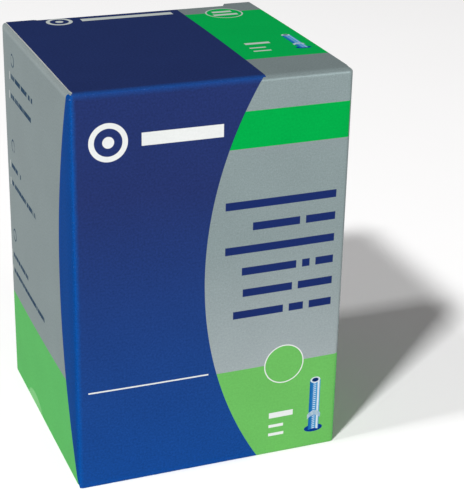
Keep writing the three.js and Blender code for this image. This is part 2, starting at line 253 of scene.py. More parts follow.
class Folds:
    """Flat runs joined by rounded folds, seen from their end. at(t) is the place and the outward
    normal at blank distance t, where distances are measured to the sharp corners."""

    def __init__(self, corners, start, radius, outside=1):
        self.corners = np.array(corners, float)
        steps = np.diff(self.corners, axis=0)
        lengths = np.linalg.norm(steps, axis=1)
        self.ways = steps / lengths[:, None]
        self.marks = start + np.concatenate([[0], np.cumsum(lengths)])
        self.radius = radius
        self.outside = outside

    def normal(self, way):
        return self.outside * np.array([-way[1], way[0]])

    def fold_span(self, k):
        """Blank distances at which the rounding of corner k starts and ends, and its turn."""
        before, after = self.ways[k - 1], self.ways[k]
        turn = math.atan2(before[0] * after[1] - before[1] * after[0], before @ after)
        tangent = self.radius * math.tan(abs(turn) / 2)
        return self.marks[k] - tangent, self.marks[k] + tangent, turn

    def at(self, t):
        for k in range(1, len(self.ways)):
            start, end, turn = self.fold_span(k)
            if start < t < end:
                before = self.ways[k - 1]
                first = self.corners[k] - before * (self.marks[k] - start)
                centre = first - self.normal(before) * self.radius
                normal = rotated(self.normal(before), turn * (t - start) / (end - start))
                return centre + normal * self.radius, normal
        i = int(np.clip(np.searchsorted(self.marks, t, "right") - 1, 0, len(self.ways) - 1))
        return self.corners[i] + self.ways[i] * (t - self.marks[i]), self.normal(self.ways[i])


def stations(folds, start, end, flat_step):
    """Blank distances for the rows of a folded sheet: close together over each fold."""
    cuts = [start, end]
    for k in range(1, len(folds.ways)):
        first, last, _ = folds.fold_span(k)
        cuts += [t for t in np.linspace(first, last, FOLD_STEPS + 1) if start < t < end]
    rows = []
    cuts = sorted(cuts)
    for a, b in zip(cuts, cuts[1:]):
        rows += list(np.linspace(a, b, max(1, round((b - a) / flat_step)) + 1)[:-1])
    return rows + [end]


def board(name, u, v, place, art):
    """A sheet of folding board. u and v are grids of blank millimetres, place(u, v) gives the outer
    skin and its normal, and art(u, v) gives where the print of that point is laid out."""
    outer, normals = [np.array(values) for values in zip(*map(place, u.ravel(), v.ravel()))]
    points = np.vstack([outer, outer - normals * BOARD])
    printed = np.array([*map(art, u.ravel(), v.ravel())] * 2)

    count = u.size
    cells = np.arange(count).reshape(u.shape)
    quads = cells[:-1, :-1], cells[:-1, 1:], cells[1:, 1:], cells[1:, :-1]
    skin = np.stack([corner.ravel() for corner in quads], 1)
    border = [*cells[0], *cells[1:, -1], *cells[-1, -2::-1], *cells[-2:0:-1, 0]]
    rim = [[b, a, a + count, b + count] for a, b in zip(border, border[1:] + border[:1])]
    faces = np.vstack([skin, skin[:, ::-1] + count, rim])
    middle = skin[len(skin) // 2]
    a, b, _, d = points[middle]
    if np.cross(b - a, d - a) @ normals[middle[0]] < 0:
        faces = faces[:, ::-1]
    kinds = [0] * len(skin) + [1] * len(skin) + [2] * len(rim)

    layout = printed[faces]  # one row of four corners for each face
    centre = layout[:, :, 0].mean(1)
    shift = np.where(centre < PRINT_SEAM - REPEAT, REPEAT, 0) - np.where(centre > PRINT_SEAM, REPEAT, 0)
    layout[:, :, 0] += shift[:, None]
    materials = [printed_board, inner_board, cut_board]
    return finish_mesh(name, points, faces.tolist(), materials, "printed_board",
                       kinds=kinds, maps={"blank": layout})


def ring_faces(rows, sides, closed=True):
    """Faces between rows of points, where each row is a ring. If the rows don't close on themselves
    there is a flat face at each end."""
    faces = []
    for i in range(rows if closed else rows - 1):
        a, b = i * sides, (i + 1) % rows * sides
        for j in range(sides):
            k = (j + 1) % sides
            faces.append([a + j, a + k, b + k, b + j])
    if not closed:
        faces.append([*range(sides)][::-1])
        faces.append([(rows - 1) * sides + j for j in range(sides)])
    return faces


def turned(name, node, body, profile, material, slot, sides=48, shape=None, closed=True):
    """A round piece about the valve's axis, from [radius, height] points that go up on its outside.
    A profile that isn't closed has a flat face at each end. shape(angle, radius, height) may change
    the radius, for knurls, ribs and threads."""
    points = []
    for radius, z in profile:
        for angle in np.arange(sides) * 2 * math.pi / sides:
            r = shape(angle, radius, z) if shape else radius
            points.append([r * math.cos(angle), r * math.sin(angle), z + VALVE_FLOOR])
    faces = ring_faces(len(profile), sides, closed)
    piece = finish_mesh(name, points, faces, [material], slot, sharp=40)
    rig.replaces(piece, node)
    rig.ride(piece, body)


# ================ material tools


def operator(operation, swapped=False):
    """A method that joins a number and another with a math node."""
    def method(self, other):
        return self.paint.math(operation, *((other, self) if swapped else (self, other)))
    return method


class Num:
    """A number in a material's node tree, with arithmetic."""

    def __init__(self, paint, socket):
        self.paint, self.socket = paint, socket

    __add__ = __radd__ = operator("ADD")
    __sub__ = operator("SUBTRACT")
    __rsub__ = operator("SUBTRACT", swapped=True)
    __mul__ = __rmul__ = operator("MULTIPLY")
    __pow__ = operator("POWER")
    least = operator("MINIMUM")
    most = operator("MAXIMUM")
    above = operator("GREATER_THAN")

    def __abs__(self):
        return self.paint.math("ABSOLUTE", self)

    def ramp(self, low, high):
        """0 below low, 1 above high, straight between them."""
        scaled = self * (1 / (high - low))
        return self.paint.math("SUBTRACT", scaled, low / (high - low), clamp=True)


class Paint:
    """A procedural material: a Principled shader with its node tree."""

    def __init__(self, name, **settings):
        self.material = bpy.data.materials.new(name)
        self.material.use_nodes = True
        self.tree = self.material.node_tree
        self.shader = self.tree.nodes["Principled BSDF"]
        for socket, value in settings.items():
            self.shader.inputs[socket.replace("_", " ")].default_value = value

    def put(self, socket, value):
        if isinstance(value, Num):
            value = value.socket
        if isinstance(value, bpy.types.NodeSocket):
            self.tree.links.new(value, socket)
        elif isinstance(value, tuple):
            socket.default_value = (*value, 1)
        else:
            socket.default_value = value

    def node(self, kind, **inputs):
        """A new node, with values or other nodes' outputs put into its inputs."""
        node = self.tree.nodes.new("ShaderNode" + kind)
        for name, value in inputs.items():
            self.put(node.inputs[name], value)
        return node

    def math(self, operation, *values, clamp=False):
        node = self.node("Math")
        node.operation, node.use_clamp = operation, clamp
        for socket, value in zip(node.inputs, values):
            self.put(socket, value)
        return Num(self, node.outputs[0])

    def mix(self, share, a, b):
        """Colour a, or b where share is 1."""
        node = self.node("Mix", Factor=share)
        node.data_type = "RGBA"
        for socket, colour in zip([s for s in node.inputs if s.type == "RGBA"], (a, b)):
            self.put(socket, colour)
        return [s for s in node.outputs if s.type == "RGBA"][0]

    def layers(self, colour, *inks):
        """Inks laid over a colour in turn, each given as its share and its own colour."""
        for share, ink in inks:
            colour = self.mix(share, colour, ink)
        return colour

    def object_place(self, stretch=(1, 1, 1)):
        """Object coordinates in millimetres, for pieces that only ride on a body."""
        scale = self.node("VectorMath")
        scale.operation = "MULTIPLY"
        self.put(scale.inputs[0], self.node("TexCoord").outputs["Object"])
        scale.inputs[1].default_value = [s / MM for s in stretch]
        return scale.outputs[0]

    def uv_place(self, name):
        node = self.node("UVMap")
        node.uv_map = name
        return node.outputs[0]

    def parts(self, vector):
        return [Num(self, s) for s in self.node("SeparateXYZ", Vector=vector).outputs]

    def join(self, x, y):
        return self.node("CombineXYZ", X=x, Y=y).outputs[0]

    def noise(self, vector, size, detail=2.0, distortion=0.0):
        """Noise from 0 to 1 whose features are about size millimetres."""
        node = self.node("TexNoise", Vector=vector, Scale=1 / size, Detail=detail, Distortion=distortion)
        return Num(self, node.outputs[0])

    def bump(self, height, distance, strength=1.0):
        """height, from 0 to 1, raises the surface by up to distance millimetres."""
        node = self.node("Bump", Height=height, Distance=distance * MM, Strength=strength)
        self.set("Normal", node.outputs[0])

    def set(self, socket, value):
        self.put(self.shader.inputs[socket], value)


# ================ printed board

# The print is in blank millimetres: u across the wrap, from the middle of the front wall, and v up.

PRINT_EDGE = 0.09  # softness of a printed edge
BLEED = 3.0  # print carried past the lid's fold and onto the dust flaps

# the navy shape is what lies inside one wide arc and outside another: centre u, v and radius
NAVY_OUTER_ARC = (84.0, 57.5, 134.4)
NAVY_INNER_ARC = (101.5, 56.0, 104.1)
LID_NAVY_EDGE = 13.2
GREEN_BAND = (91.5, 101.3)
LOWER_GREEN = 28.2
LID_GREEN = (HEIGHT + 14.0, HEIGHT + 60.7)
FRONT_DISC = (20.9, 27.8, 5.7)
LID_DISC = (24.7, HEIGHT + 59.5, 5.2)
SIDE_PATCH = (-83.5, 0, 8.3)  # paler half oval at the foot of the left wall

# wheels with a bar beside them: centre u, v, radius, the bar's end and its height
WHEEL_MARKS = [(-28.0, 97.0, 5.0, 2.0, 3.4), (-22.5, HEIGHT + 64, 3.7, 10.5, 2.6)]

# white bars on the front: a rule, and small lines beside the picture of the valve. Each is given as
# left, right, low, top, and on the lid low and top are measured from its crease
FRONT_BARS = [(-34.3, -1.2, 28.3, 28.7), (17.0, 24.2, 11.2, 12.9), (17.0, 21.4, 8.2, 9.1),
              (17.0, 21.6, 5.5, 6.4)]
LID_BARS = [(18.2, 25.3, 26.5, 28.0), (18.0, 22.6, 22.9, 23.7), (18.0, 23.0, 20.0, 20.8),
            (21.6, 27.4, 60.3, 61.9), (20.9, 28.2, 57.1, 58.7)]

# pictures of the valve: u and v of the foot, scale, strength of the highlights
VALVE_PICTURES = [(30.7, 4.5, 1.0, 1.0), (32.3, HEIGHT + 19.6, 0.8, 0.4)]

# six bold lines, ranged right: the length of each word, from left to right
BOLD_LINES = [[31.3], [13.4, 8.5], [31.2], [15.6, 2.2, 5.2], [14.2, 10.1], [14.4, 4.2, 6.6]]
BOLD_RIGHT = 34.1
BOLD_TOP = 77.3
BOLD_PITCH = 6.26
BOLD_HEIGHT = 2.2
BOLD_GAP = 1.7

# small lines on the side: left end, right end, height on the panel
SIDE_LINES = [(-97.8, -73.6, 97.0), (-98.9, -75.5, 91.2), (-101.3, -89.8, 69.8),
              (-101.6, -73.4, 64.4), (-103.9, -85.4, 40.9), (-103.9, -67.8, 35.9)]
SIDE_LINE_HEIGHT = 1.4
SIDE_RINGS = [(-95.5, 101.9), (-98.3, 76.3), (-100.9, 48.0)]

# the navy comes in lit and shaded copies: painted light at the foot of the front and back walls, painted shade toward
# their top and on the lid
NAVY_SHADED_TOP = (0.016, 0.029, 0.118)
NAVY_LIT_BOTTOM = (0.007, 0.054, 0.235)
NAVY_LID_SHADE = (0.013, 0.024, 0.092)
NAVY_SIDE = (0.002, 0.050, 0.235)
# painted highlight: the navy is lighter over its rounded creases, partly stretched ink
NAVY_CREASE_HIGHLIGHT = (0.002, 0.066, 0.290)
SILVER = (0.190, 0.242, 0.246)
# painted light: the silver is lighter toward the foot of the front and back walls
SILVER_LIT_LOW = (0.338, 0.376, 0.391)
SILVER_FLAKE = (0.42, 0.47, 0.47)
# painted highlight on the side walls' rounded shoulders beside the lid
SHOULDER_HIGHLIGHT = (0.42, 0.48, 0.48)
BAND_GREEN = (0.001, 0.330, 0.055)
PALE_GREEN = (0.124, 0.405, 0.096)
SIDE_GREEN = (0.105, 0.445, 0.120)
PATCH_GREEN = (0.42, 0.72, 0.40)
TOP_GREEN = (0.001, 0.310, 0.060)
WHITE_INK = (0.66, 0.68, 0.67)
# painted shade: the lid's white ink is a darker copy
LID_WHITE_SHADE = (0.42, 0.46, 0.44)
TEXT_NAVY = (0.010, 0.022, 0.110)
TEXT_TEAL = (0.006, 0.038, 0.085)
BARE_BOARD = (0.72, 0.71, 0.67)
BARE_FIBRE = (0.60, 0.63, 0.63)
SIDE_SHADE = 0.13  # painted shade: the side walls are made this much darker


class Artwork:
    """Masks of the printed shapes, in blank millimetres u and v."""

    def __init__(self, paint, blank):
        self.paint = paint
        self.u, self.v, _ = paint.parts(blank)
        self.on_lid = self.v.above(HEIGHT)
        self.on_front = self.u.above(-HALF_WIDTH)
        self.on_side = 1 - self.on_front

    def ink(self, inside):
        """1 where the distance inside a shape is positive, with a printed edge."""
        return self.paint.math("MULTIPLY_ADD", inside, 1 / PRINT_EDGE, 0.5, clamp=True)

    def between(self, value, low, high):
        return (value - low).least(high - value)

    def bar(self, u0, u1, v0, v1):
        return self.between(self.u, u0, u1).least(self.between(self.v, v0, v1))

    def reach(self, u0, v0, stretch=1.0):
        """Distance from a point, with v stretched for ovals."""
        across = self.u - u0
        up = (self.v - v0) * stretch
        return (across * across + up * up) ** 0.5

    def disc(self, u0, v0, radius, stretch=1.0):
        return radius - self.reach(u0, v0, stretch)

    def ring(self, u0, v0, radius, line):
        return line / 2 - abs(self.reach(u0, v0) - radius)

    def wheel(self, u0, v0, radius, bar_end, bar_height):
        """A plain mark: a wheel with its hub, and a bar beside it."""
        rim = self.ring(u0, v0, radius * 0.86, radius * 0.28)
        hub = self.disc(u0, v0, radius * 0.3)
        bar = self.bar(u0 + radius * 1.7, bar_end, v0 - bar_height / 2, v0 + bar_height / 2)
        return union([rim, hub, bar])


def union(shapes):
    """What lies inside any of the shapes."""
    return functools.reduce(Num.most, shapes)


def white_print(art):
    marks = [art.wheel(*mark) for mark in WHEEL_MARKS]
    bars = [art.bar(*bar) for bar in FRONT_BARS]
    bars += [art.bar(left, right, HEIGHT + low, HEIGHT + top) for left, right, low, top in LID_BARS]
    rings = [art.ring(*FRONT_DISC, 0.3), art.ring(*LID_DISC, 0.4)]
    return art.ink(union(marks + bars + rings))


def bold_print(art):
    """Lines of text as plain bars, one for each word."""
    bars = []
    for i, lengths in enumerate(BOLD_LINES):
        top = BOLD_TOP - i * BOLD_PITCH
        right = BOLD_RIGHT
        for length in reversed(lengths):
            bars.append(art.bar(right - length, right, top - BOLD_HEIGHT, top))
            right -= length + BOLD_GAP
    return art.ink(union(bars))


def side_print(art):
    """Small lines and rings, the lines broken up so that they look like text from afar."""
    half = SIDE_LINE_HEIGHT / 2
    bars = [art.bar(left, right, level - half, level + half) for left, right, level in SIDE_LINES]
    rings = [art.ring(u0, v0, 1.7, 0.5) for u0, v0 in SIDE_RINGS]
    breaks = art.paint.noise(art.paint.join(art.u, art.v * 0.2), 0.9, detail=1)
    return art.ink(union(bars + rings)) * breaks.ramp(0.34, 0.46)


def side_ticks(art):
    """A white tick before each small line."""
    bars = [art.bar(left - 1.9, left - 1.2, level - 1.3, level + 0.9) for left, _, level in SIDE_LINES]
    return art.ink(union(bars))


def valve_picture(art, colour, u0, v0, scale, light):
    """A small picture of a threaded valve with its nut, standing with its foot at v0."""
    paint, ink = art.paint, art.ink
    side = (art.u - u0) * (1 / (1.6 * scale))
    up = (art.v - v0) * (1 / scale)
    bow = side * side * 0.35  # everything round the stem bows down toward the eye
    rungs = paint.math("FRACT", (up + bow) * 1.6).above(0.5)
    rungs = rungs * (1 - abs(side + 0.05).ramp(0.15, 0.35)) * light
    gleam = (1 - abs(side - 0.66).ramp(0.12, 0.24)) * light
    metal = paint.mix(side.ramp(-1.0, 0.2), (0.004, 0.080, 0.300), (0.030, 0.230, 0.480))
    metal = paint.layers(metal, (rungs, (0.45, 0.56, 0.66)), (gleam, (0.55, 0.60, 0.64)))
    teeth = paint.math("FRACT", side * 4).above(0.45)
    foot = art.disc(u0, v0 + 1.1 * scale, 2.8 * scale, stretch=2.4)
    stem = (1 - abs(side)).least(up + bow - 0.9).least(16.4 - up) * scale
    nut = (1.25 - abs(side)).least(0.75 - abs(up + bow * 2 - 6.0)) * scale
    lip = art.disc(u0, v0 + 16.5 * scale, 1.5 * scale, stretch=1.6)
    hole = art.disc(u0, v0 + 16.5 * scale, 1.0 * scale, stretch=1.6)
    return paint.layers(
        colour,
        (ink(foot), (0.003, 0.030, 0.200)),
        (ink(stem), metal),
        (ink(nut), paint.mix(teeth, (0.55, 0.60, 0.62), (0.10, 0.26, 0.42))),
        (ink(lip), (0.50, 0.58, 0.64)),
        (ink(hole), (0.003, 0.020, 0.100)),
    )


def bare_part(art):
    """Past the lid's fold and on the dust flaps the board is left unprinted."""
    high_tuck = art.ink(art.v - (HEIGHT + FOLD_Y - FRONT_Y + BLEED))
    high_flaps = art.ink(art.v - (HEIGHT + BLEED)) * art.on_side
    low_flaps = art.ink(-BLEED - art.v) * art.on_side
    low_tuck = art.ink(-(FOLD_Y - FRONT_Y + BLEED) - art.v)
    return union([high_tuck, high_flaps, low_flaps, low_tuck])


def make_printed_board():
    paint = Paint("printed_board", Specular_IOR_Level=0.01, IOR=1.2)
    blank = paint.uv_place("blank")
    art = Artwork(paint, blank)
    u, v, on_lid, on_front = art.u, art.v, art.on_lid, art.on_front

    # silver ink, mottled by its flakes. On the front and back walls it is painted lighter toward the foot, as painted
    # light
    flake = paint.noise(blank, 0.35, detail=3)
    silver = paint.mix(v.ramp(8, 66).most(art.on_side), SILVER_LIT_LOW, SILVER)

    # greens
    pale = union([art.ink(LOWER_GREEN - v), art.ink(art.disc(*FRONT_DISC))])
    band = art.ink(art.between(v, *GREEN_BAND)) * on_front
    lid_field = art.ink(art.between(v, *LID_GREEN)) * on_front
    deep = lid_field.most(art.ink(art.disc(*LID_DISC)))
    patch = art.ink(art.disc(*SIDE_PATCH, stretch=1.66))

    # navy: painted light and shade, lighter toward the foot of the front and back walls and darker toward their top.
    # The side walls have their own navy, and the lid has a darker copy as painted shade
    outside_inner = art.reach(*NAVY_INNER_ARC[:2]) - NAVY_INNER_ARC[2]
    crescent = art.ink(art.disc(*NAVY_OUTER_ARC).least(outside_inner))
    lid_navy = art.ink(LID_NAVY_EDGE - u) * on_front
    navy_shape = crescent * (1 - on_lid) + lid_navy * on_lid
    round_corner = 1 - u.ramp(-HALF_WIDTH - 1.5, -HALF_WIDTH)
    navy = paint.mix(v.ramp(0, 0.75 * HEIGHT), NAVY_LIT_BOTTOM, NAVY_SHADED_TOP)
    navy = paint.layers(navy, (round_corner, NAVY_SIDE), (on_lid, NAVY_LID_SHADE))

    # marks, lines of text and pictures go over the grounds
    white, bold, small = white_print(art), bold_print(art), side_print(art)
    colour = paint.layers(
        silver,
        (flake.ramp(0.35, 0.75) * 0.22, SILVER_FLAKE),
        (pale, paint.mix(on_front, SIDE_GREEN, PALE_GREEN)),
        (band, BAND_GREEN),
        (deep, TOP_GREEN),
        (patch * 0.35, PATCH_GREEN),
        (navy_shape, navy),
        # the lid's white is a darker copy, painted shade
        (white, paint.mix(on_lid, WHITE_INK, LID_WHITE_SHADE)),
        (bold, TEXT_NAVY),
        (small * 0.95, TEXT_TEAL),
        (side_ticks(art) * 0.7, WHITE_INK),
    )
    for picture in VALVE_PICTURES:
        colour = valve_picture(art, colour, *picture)

    # creases: the varnish and ink are stretched there and lighter. Over the navy a painted highlight lightens them
    # more, as if the rounded creases caught the light, and worn fibres show on them too
    along_u = abs(u + HALF_WIDTH).least(abs(u - HALF_WIDTH)) + on_lid * 9
    along_v = abs(v - HEIGHT).least(abs(v))
    wander = (paint.noise(blank, 5, detail=3) - 0.5) * 0.9
    upright = 1 - (along_u + wander).ramp(0.2, 1.7)
    level = 1 - (along_v + 0.2 + wander).ramp(0.2, 2.1)
    crease_highlight_and_wear = upright.most(level * 0.55)
    # painted highlight: a lighter band of silver along the side walls' rounded shoulders beside the lid
    shoulder_highlight = (1 - abs(v - HEIGHT).ramp(0.5, 2.2)) * art.on_side * (1 - navy_shape)
    fibre = paint.noise(blank, 0.4, detail=4).ramp(0.62, 0.74)
    bare = bare_part(art)
    colour = paint.layers(
        colour,
        (crease_highlight_and_wear * navy_shape * 0.85, NAVY_CREASE_HIGHLIGHT),
        (shoulder_highlight * 0.6, SHOULDER_HIGHLIGHT),
        (crease_highlight_and_wear * fibre * 0.12, BARE_FIBRE),
        (bare, BARE_BOARD),
    )

    # tone: soft clouds, specks, and the faint cross grain of the board under the ink. The side walls are darkened as
    # painted shade
    cloud = paint.noise(blank, 14, detail=2)
    grain = paint.noise(paint.join(u * 0.35, v * 2.2), 0.9, detail=3)
    speckle = paint.noise(blank, 0.55, detail=3) - 0.5
    specks = speckle * (0.3 + navy_shape * 0.45) * (1 - white * 0.85)
    value = 0.90 + cloud * 0.12 + grain * 0.09 + specks - art.on_side * SIDE_SHADE
    paint.set("Base Color", paint.node("HueSaturation", Value=value, Color=colour).outputs[0])

    inked = union([pale, band, deep, navy_shape, white, bold, small, bare])
    paint.set("Metallic", (1 - inked) * 0.4)
    paint.set("Roughness", 0.34 + flake * 0.14 + bare * 0.25 + crease_highlight_and_wear * 0.05)
    surface = grain * 0.6 + paint.noise(blank, 0.18, detail=2) * 0.4
    paint.bump(surface, 0.012, strength=0.6)
    return paint.material


def make_inner_board():
    """The grey unprinted inside: recycled fibres, with flecks."""
    paint = Paint("inner_board", Roughness=0.9)
    blank = paint.uv_place("blank")
    fibres = paint.noise(blank, 0.8, detail=5, distortion=1.5)
    flecks = paint.noise(blank, 0.5, detail=2).ramp(0.68, 0.75)
    colour = paint.mix(fibres, (0.42, 0.39, 0.34), (0.60, 0.57, 0.51))
    colour = paint.mix(flecks * 0.5, colour, (0.20, 0.19, 0.18))
    paint.set("Base Color", colour)
    paint.set("Roughness", 0.82 + fibres * 0.12)
    paint.bump(fibres, 0.03, strength=0.7)
    return paint.material


def make_cut_board():
    """The cut edge of white-lined grey board: mottled grey, torn a little by the knife."""
    paint = Paint("cut_board", Roughness=0.9)
    blank = paint.uv_place("blank")
    torn = paint.noise(blank, 0.5, detail=4)
    paint.set("Base Color", paint.mix(torn.ramp(0.3, 0.7), (0.30, 0.31, 0.30), (0.42, 0.43, 0.42)))
    paint.bump(torn, 0.05)
    return paint.material


printed_board = make_printed_board()
inner_board = make_inner_board()
cut_board = make_cut_board()

# ================ carton sleeve

# seen from above: back wall, left wall, front wall, right wall, glue flap
SLEEVE = Folds(
    [(HALF_WIDTH - BACK_TRIM, BACK_Y), (-HALF_WIDTH, BACK_Y), (-HALF_WIDTH, FRONT_Y),
     (HALF_WIDTH, FRONT_Y), (HALF_WIDTH, GLUE_Y), (GLUE_EDGE, GLUE_Y)],
    -REPEAT - HALF_WIDTH + BACK_TRIM, CREASE, outside=-1)
BACK_MARK, LEFT_MARK, FRONT_MARK, RIGHT_MARK, GLUE_MARK, SLEEVE_END = SLEEVE.marks
WALLS = list(zip(SLEEVE.marks, SLEEVE.marks[1:], WALL_SWELL))


def swell(u, v, start, end, low, high, amount):
    """How far a panel bows outward, with no bow at its edges."""
    s = np.clip((u - start) / (end - start), 0, 1)
    t = np.clip((v - low) / (high - low), 0, 1)
    return amount * (4 * s * (1 - s)) * (4 * t * (1 - t)) ** 0.7


def sleeve_place(u, v):
    (x, y), (nx, ny) = SLEEVE.at(u)
    out = 0
    for start, end, amount in WALLS:
        if start < u < end:
            out = swell(u, v, start, end, sleeve_bottom(u), sleeve_top(u), amount)
    return np.array([x + nx * out, y + ny * out, v]), np.array([nx, ny, 0.0])


def sleeve_edge(u, back, front, side, glue, slope):
    """Level of the sleeve's cut edge at u: each wall has its own, and the glue flap's slopes."""
    if u < LEFT_MARK:
        return back
    if u > GLUE_MARK + CREASE:
        return glue + slope * (u - GLUE_MARK) / (SLEEVE_END - GLUE_MARK)
    return front if FRONT_MARK <= u <= RIGHT_MARK else side


def sleeve_top(u):
    return sleeve_edge(u, BACK_TOP, WALL_TOP, SIDE_TOP, *GLUE_TOP)


def sleeve_bottom(u):
    """The bottom is cut as the top is, with front and back changed over."""
    return sleeve_edge(u, HEIGHT - WALL_TOP, CUT_BOTTOM, HEIGHT - SIDE_TOP, *GLUE_BOTTOM)


def make_sleeve():
    rows = stations(SLEEVE, BACK_MARK, SLEEVE_END, FLAT_STEP)
    share = np.linspace(0, 1, 28)
    v = np.array([sleeve_bottom(u) + (sleeve_top(u) - sleeve_bottom(u)) * share for u in rows])
    u = np.repeat(np.array(rows)[:, None], len(share), 1)
    piece = board("carton_sleeve", u, v, sleeve_place, lambda a, b: (a, b))
    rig.replaces(piece, "front_panel", "back_panel", "left_side_panel", "right_side_panel", "glue_flap")
    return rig.ride(piece, "carton")


# ================ lids and flaps

LID = Folds([(FRONT_Y, 0), (FRONT_Y, HEIGHT), (2 * BACK_Y, HEIGHT)], 0, CREASE)
FOLD_MARK = HEIGHT + FOLD_Y - FRONT_Y
TUCK_WAY = np.array([TUCK_TIP[0] + BOARD - FOLD_Y, TUCK_TIP[1] - HEIGHT])
TUCK = Folds([(FRONT_Y, HEIGHT), (FOLD_Y, HEIGHT), (FOLD_Y, HEIGHT) + TUCK_WAY], HEIGHT, FOLD)
TUCK_START = TUCK.fold_span(1)[0] - 0.2
DUST_TOP = DUST_FACE + SHOULDER
DUST = Folds([(-HALF_WIDTH, 0), (-HALF_WIDTH, DUST_TOP), (HALF_WIDTH, DUST_TOP)], 0, DUST_CREASE)
DUST_END = DUST_TOP + HALF_WIDTH + DUST_TIP
LID_EDGE = LID_HALF_WIDTH - 0.45  # the lid lies between the shoulders of the dust flaps


def smooth(t):
    t = np.clip(t, 0, 1)
    return t * t * (3 - 2 * t)


def round_crease(u, profile, radius):
    """A point of a crease that runs round the corners of the sleeve with it. profile is the crease's
    height and the share of its normal that points outward and upward."""
    z, flat, up = profile
    (x, y), (nx, ny) = SLEEVE.at(u)
    inward = radius * (1 - flat)
    return np.array([x - nx * inward, y - ny * inward, z]), np.array([nx * flat, ny * flat, up])


def lid_place(u, v):
    (y, z), (ny, nz) = LID.at(v)
    if v < HEIGHT + CREASE - HAIR:
        return round_crease(u, (z, -ny, nz), CREASE)
    out = swell(v, 0.5, HEIGHT + CREASE, FOLD_MARK, 0, 1, LID_SWELL)
    edge = 1 - (u / LID_EDGE) ** 2
    return np.array([u, y, z + out * (0.45 + 0.55 * edge)]), np.array([0.0, 0.0, 1.0])


def tuck_place(u, v):
    (y, z), (ny, nz) = TUCK.at(v)
    return np.array([u, y, z]), np.array([0.0, ny, nz])


def dust_place(u, v):
    (x, z), (nx, nz) = DUST.at(v)
    flat = v - DUST_TOP - DUST_CREASE
    if flat < -HAIR:
        return round_crease(u, (z, -nx, nz), DUST_CREASE)
    drop = SHOULDER * smooth(flat / SHOULDER_RUN)
    return np.array([x, FRONT_Y - (u + HALF_WIDTH), z - drop]), np.array([0, 0, 1.0])


def lid_grid(ears):
    """The lid with its crease. At the crease its corners run half way round the corners of the
    sleeve; past it they narrow to the crease's end, and widen again to the lid's full width."""
    inner = HALF_WIDTH - CREASE
    slits = [side * (EAR_X + d) for side in (-1, 1) for d in (-0.1, 0.15)]
    columns = sorted([*np.linspace(-inner, inner, 25), *slits])
    rows = stations(LID, WALL_TOP, TUCK_START, FLAT_STEP)
    rows = sorted(rows + [HEIGHT + CREASE + d for d in (0.7, 1.5, 2.5)])
    u, v = [], []
    for row in rows + [TUCK_START]:
        if row < HEIGHT + CREASE - HAIR:
            wide, ends = 1.0, [inner + CREASE / 2, HALF_WIDTH]
        else:
            half = inner + 0.2 + (LID_EDGE - inner - 0.2) * smooth((row - HEIGHT - CREASE) / 1.5)
            wide, ends = (half - 0.2) / inner, [half - 0.1, half]
        u.append([-ends[1], -ends[0], *[c * wide for c in columns], *ends])
        v.append([row] * (len(columns) + 4))
    # the last row draws the ears on past the fold, and the one before it makes room for them
    for i, place in enumerate(u[-1]):
        v[-2][i] = TUCK_START - 0.6
        if abs(place) > EAR_X:
            ear = ears[0] if place < 0 else ears[1]
            v[-1][i] = HEIGHT + ear - FRONT_Y
    return np.array(u), np.array(v)


def tuck_grid():
    end = TUCK.marks[-1]
    fold_end = TUCK.fold_span(1)[1]
    rows = stations(TUCK, TUCK_START, end, 2.0)
    rows = sorted(rows + [fold_end + 0.25, fold_end + 0.55])
    u = []
    for row in rows:
        half = EAR_X - 0.15 if row <= fold_end + 0.3 else TUCK_HALF_WIDTH
        half -= TUCK_CORNER * smooth((row - end) / TUCK_CORNER + 1)
        u.append(np.linspace(-half, half, 25))
    v = np.repeat(np.array(rows)[:, None], 25, 1)
    return np.array(u), v


def dust_grid():
    """The left dust flap. Its crease runs half way round the corners of the sleeve; its front edge
    is cut back the most, clear of the lid's hinge."""
    rows = stations(DUST, SIDE_TOP, DUST_END, 3.0)
    rows += [DUST_TOP + DUST_CREASE + d for d in (0.25, 0.5, 0.8, 1.1, 1.4)]
    rows = sorted(rows + [DUST_END - d for d in (1.8, 1.0, 0.4)])
    u = []
    for row in rows:
        if row < DUST_TOP + DUST_CREASE - HAIR:
            first, last, corner = FRONT_MARK, LEFT_MARK, CREASE
        else:
            reach = row - DUST_TOP - DUST_CREASE
            near_end = smooth((row - DUST_END) / DUST_CORNER + 1)
            cut = DUST_CORNER * (1 - math.sqrt(1 - near_end ** 2))
            first = FRONT_MARK - DUST_FRONT[0] - DUST_FRONT[1] * reach - cut
            last = LEFT_MARK + DUST_BACK[0] + DUST_BACK[1] * reach + cut
            corner = 0.2
        middle = np.linspace(first - corner, last + corner, 17)
        u.append([first, first - corner / 2, *middle, last + corner / 2, last])
    v = np.repeat(np.array(rows)[:, None], 21, 1)
    return np.array(u), v


def moved(place, signs, lift=0.0):
    """The same place mirrored by signs, then lifted."""
    def move(u, v):
        point, normal = place(u, v)
        return point * signs + (0, 0, lift), normal * signs
    return move


